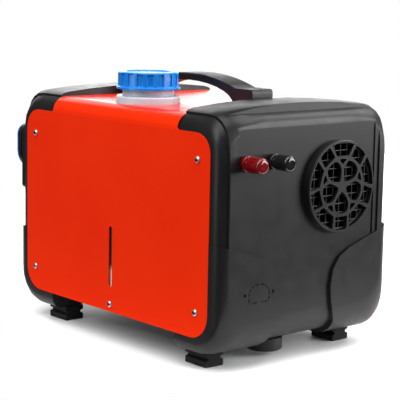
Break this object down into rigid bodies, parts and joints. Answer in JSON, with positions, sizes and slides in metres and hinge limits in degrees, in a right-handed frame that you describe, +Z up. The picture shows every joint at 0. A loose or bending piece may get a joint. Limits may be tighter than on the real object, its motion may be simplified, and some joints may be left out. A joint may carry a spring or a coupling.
{
  "type": "diesel air heater",
  "caption": "Portable diesel air heater: steel-wrapped box with moulded end caps, fuel tank with screw cap, carry handle, burner, fan, controller and binding posts.",
  "frame": {"origin": "on the floor under the middle of the overall box", "axes": "+X towards the air intake end, +Y towards the back, +Z up"},
  "size_m": [0.4256, 0.2574, 0.305],
  "materials": {
    "red_paint": "gloss powder coat",
    "black_plastic": "satin moulded",
    "black_rubber": "moulded",
    "milky_plastic": "translucent, blow moulded",
    "blue_plastic": "gloss",
    "red_plastic": "gloss, slightly translucent",
    "gloss_black": "gloss",
    "zinc_steel": "zinc plated",
    "cast_aluminium": "as cast",
    "brass": "turned",
    "black_steel": "black coat",
    "board_green": "solder mask",
    "screen_glass": "polished",
    "hose_rubber": "extruded"
  },
  "bodies": {
    "casing": {"right_end_cap": "black_plastic", "left_end_cap": "black_plastic", "casing_wrap": "red_paint", "base_tray": "black_steel", "foot_front_left": "black_rubber", "foot_front_right": "black_rubber", "foot_back_left": "black_rubber", "foot_back_right": "black_rubber", "intake_grille": "black_plastic", "intake_guard": "black_plastic", "outlet_collar": "black_plastic", "outlet_louvre": "black_plastic", "air_inlet_socket": "black_plastic", "air_inlet_hose": "hose_rubber", "terminal_red_base": "red_plastic", "terminal_black_base": "gloss_black", "controller_housing": "black_plastic", "controller_bezel": "black_plastic", "controller_trim": "blue_plastic", "controller_plate": "gloss_black", "controller_screen": "screen_glass", "fuel_tank": "milky_plastic", "carry_handle": "black_plastic", "handle_screw_1": "zinc_steel", "handle_screw_2": "zinc_steel", "burner_upper_case": "black_plastic", "burner_lower_case": "black_plastic", "heat_exchanger": "cast_aluminium", "exhaust_pipe": "zinc_steel", "fan_motor": "zinc_steel", "motor_spider": "cast_aluminium", "burner_stand": "black_steel", "control_board": "board_green", "fuel_pump": "cast_aluminium", "pump_bracket": "black_steel", "tank_line": "hose_rubber", "burner_line": "hose_rubber", "screw_front_1": "zinc_steel", "screw_back_1": "zinc_steel", "screw_front_2": "zinc_steel", "screw_back_2": "zinc_steel", "screw_front_3": "zinc_steel", "screw_back_3": "zinc_steel", "screw_front_4": "zinc_steel", "screw_back_4": "zinc_steel", "screw_front_5": "zinc_steel", "screw_back_5": "zinc_steel"},
    "red_knob": {"terminal_red_knob": "red_plastic"},
    "black_knob": {"terminal_black_knob": "gloss_black"},
    "dial": {"controller_dial": "black_plastic"},
    "key_1": {"controller_key_1": "black_rubber"},
    "key_2": {"controller_key_2": "black_rubber"},
    "cap": {"filler_cap": "blue_plastic"},
    "seal": {"filler_seal": "black_rubber"},
    "rotor": {"motor_shaft": "zinc_steel", "fan_wheel": "black_plastic", "burner_impeller": "cast_aluminium"},
    "red_washer": {"terminal_red_washer": "brass"},
    "black_washer": {"terminal_black_washer": "brass"}
  },
  "joints": [
    {"name": "seal_lift", "type": "slide", "parent": "casing", "child": "seal", "axis": [0, 0, 1], "range_m": [0, 0.006]},
    {"name": "cap_turn", "type": "hinge", "parent": "seal", "child": "cap", "pos_m": [0.00075, -0.07525, 0.294], "axis": [0, 0, 1], "range_deg": [0, 540]},
    {"name": "rotor_spin", "type": "hinge", "parent": "casing", "child": "rotor", "pos_m": [0.08075, 0.04255, 0.189], "axis": [1, 0, 0], "continuous": true},
    {"name": "dial_turn", "type": "hinge", "parent": "casing", "child": "dial", "pos_m": [-0.20425, -0.10085, 0.198], "axis": [-1, 0, 0], "continuous": true},
    {"name": "key_1_press", "type": "slide", "parent": "casing", "child": "key_1", "axis": [1, 0, 0], "range_m": [0, 0.0008], "stiffness_N_per_m": 300},
    {"name": "key_2_press", "type": "slide", "parent": "casing", "child": "key_2", "axis": [1, 0, 0], "range_m": [0, 0.0008], "stiffness_N_per_m": 300},
    {"name": "red_washer_slide", "type": "slide", "parent": "casing", "child": "red_washer", "axis": [1, 0, 0], "range_m": [0, 0.0024]},
    {"name": "red_knob_turn", "type": "hinge", "parent": "red_washer", "child": "red_knob", "pos_m": [0.19525, -0.09165, 0.222], "axis": [1, 0, 0], "range_deg": [0, 1080]},
    {"name": "black_washer_slide", "type": "slide", "parent": "casing", "child": "black_washer", "axis": [1, 0, 0], "range_m": [0, 0.0024]},
    {"name": "black_knob_turn", "type": "hinge", "parent": "black_washer", "child": "black_knob", "pos_m": [0.19525, -0.05315, 0.222], "axis": [1, 0, 0], "range_deg": [0, 1080]}
  ],
  "couplings": [
    {"joint": "seal_lift", "follows": "cap_turn", "m_per_rad": 0.0006366},
    {"joint": "red_knob_turn", "follows": "red_washer_slide", "rad_per_m": 7853.9},
    {"joint": "black_knob_turn", "follows": "black_washer_slide", "rad_per_m": 7853.9}
  ]
}
